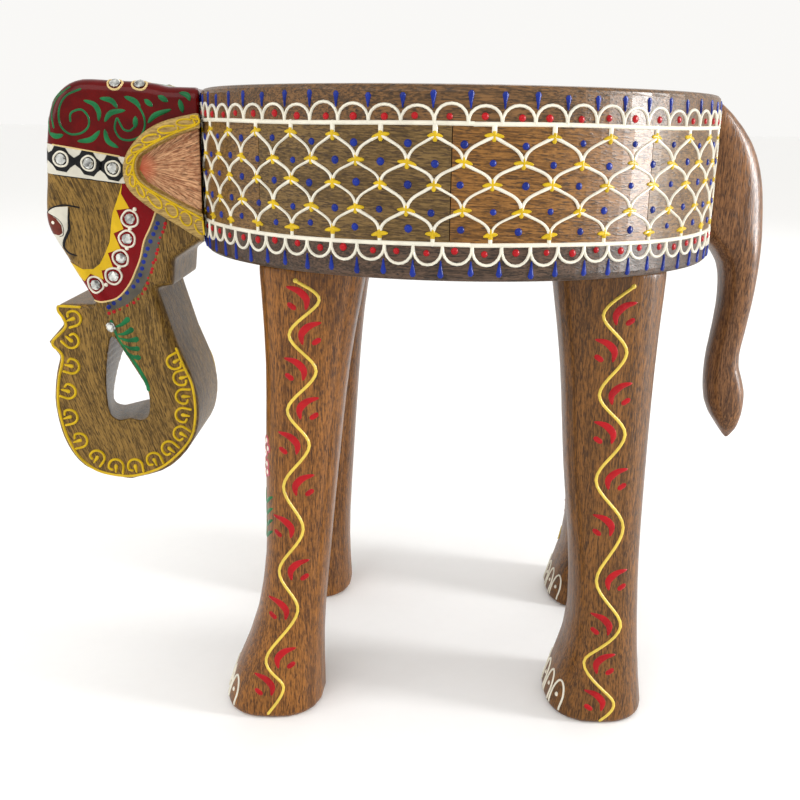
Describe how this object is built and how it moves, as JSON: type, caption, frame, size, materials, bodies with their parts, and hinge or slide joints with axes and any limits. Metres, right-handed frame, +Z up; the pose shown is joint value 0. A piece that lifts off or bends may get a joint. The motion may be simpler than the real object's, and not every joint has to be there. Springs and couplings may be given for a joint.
{
  "type": "carved wooden elephant stool",
  "caption": "Hand-painted carved elephant stool: round drum seat on turned-out legs, with a curled trunk, plate ears and a hanging tail.",
  "frame": {"origin": "on the floor, below the middle of the whole length, head tip to tail", "axes": "+Z up, -X towards the head, -Y the elephant's left side"},
  "size_m": [0.3724, 0.26, 0.31],
  "materials": {
    "board_wood": "glossy varnish, darker top and base boards",
    "block_wood": "glossy varnish over mango wood blocks",
    "leg_wood": "satin to glossy varnish, grain along the leg",
    "head_wood": "glossy varnish on the faces, duller edges",
    "ear_wood": "pale carved wood, washed with pink paint",
    "tail_wood": "glossy varnish, fine straight grain",
    "dowel_wood": "bare beech",
    "fixing_steel": "zinc plated",
    "mirror_glass": "small silvered glass",
    "paint_white": "raised acrylic paint",
    "paint_yellow": "raised acrylic paint",
    "paint_red": "acrylic paint",
    "paint_blue": "acrylic paint",
    "paint_green": "acrylic paint",
    "paint_black": "acrylic paint",
    "paint_teal": "thin acrylic wash",
    "paint_pink": "acrylic paint"
  },
  "bodies": {
    "root": {"seat_top": "board_wood", "seat_base": "board_wood", "rim_block_1": "block_wood", "rim_block_2": "block_wood", "rim_block_3": "block_wood", "rim_block_4": "block_wood", "rim_block_5": "block_wood", "rim_block_6": "block_wood", "rim_block_7": "block_wood", "rim_block_8": "block_wood", "rim_block_9": "block_wood", "leg_front_left": "leg_wood", "leg_front_right": "leg_wood", "leg_back_left": "leg_wood", "leg_back_right": "leg_wood", "leg_bolt_front_left": "fixing_steel", "leg_bolt_front_right": "fixing_steel", "leg_bolt_back_left": "fixing_steel", "leg_bolt_back_right": "fixing_steel", "leg_nut_front_left": "fixing_steel", "leg_nut_front_right": "fixing_steel", "leg_nut_back_left": "fixing_steel", "leg_nut_back_right": "fixing_steel", "head": "head_wood", "ear_left": "ear_wood", "ear_right": "ear_wood", "tail": "tail_wood", "head_dowel_lower": "dowel_wood", "head_dowel_upper": "dowel_wood", "tail_dowel_lower": "dowel_wood", "tail_dowel_upper": "dowel_wood", "mirror_brow_left_1": "mirror_glass", "mirror_brow_left_2": "mirror_glass", "mirror_brow_left_3": "mirror_glass", "mirror_cheek_left_1": "mirror_glass", "mirror_cheek_left_2": "mirror_glass", "mirror_cheek_left_3": "mirror_glass", "mirror_cheek_left_4": "mirror_glass", "mirror_cheek_left_5": "mirror_glass", "mirror_trunk_left": "mirror_glass", "mirror_crown_left_1": "mirror_glass", "mirror_crown_left_2": "mirror_glass", "mirror_brow_right_1": "mirror_glass", "mirror_brow_right_2": "mirror_glass", "mirror_brow_right_3": "mirror_glass", "mirror_cheek_right_1": "mirror_glass", "mirror_cheek_right_2": "mirror_glass", "mirror_cheek_right_3": "mirror_glass", "mirror_cheek_right_4": "mirror_glass", "mirror_cheek_right_5": "mirror_glass", "mirror_trunk_right": "mirror_glass", "mirror_crown_right_1": "mirror_glass", "mirror_crown_right_2": "mirror_glass", "mirror_crown_middle_1": "mirror_glass", "mirror_crown_middle_2": "mirror_glass", "mirror_brow_front_1": "mirror_glass", "mirror_brow_front_2": "mirror_glass", "mirror_brow_front_3": "mirror_glass"}
  },
  "joints": []
}
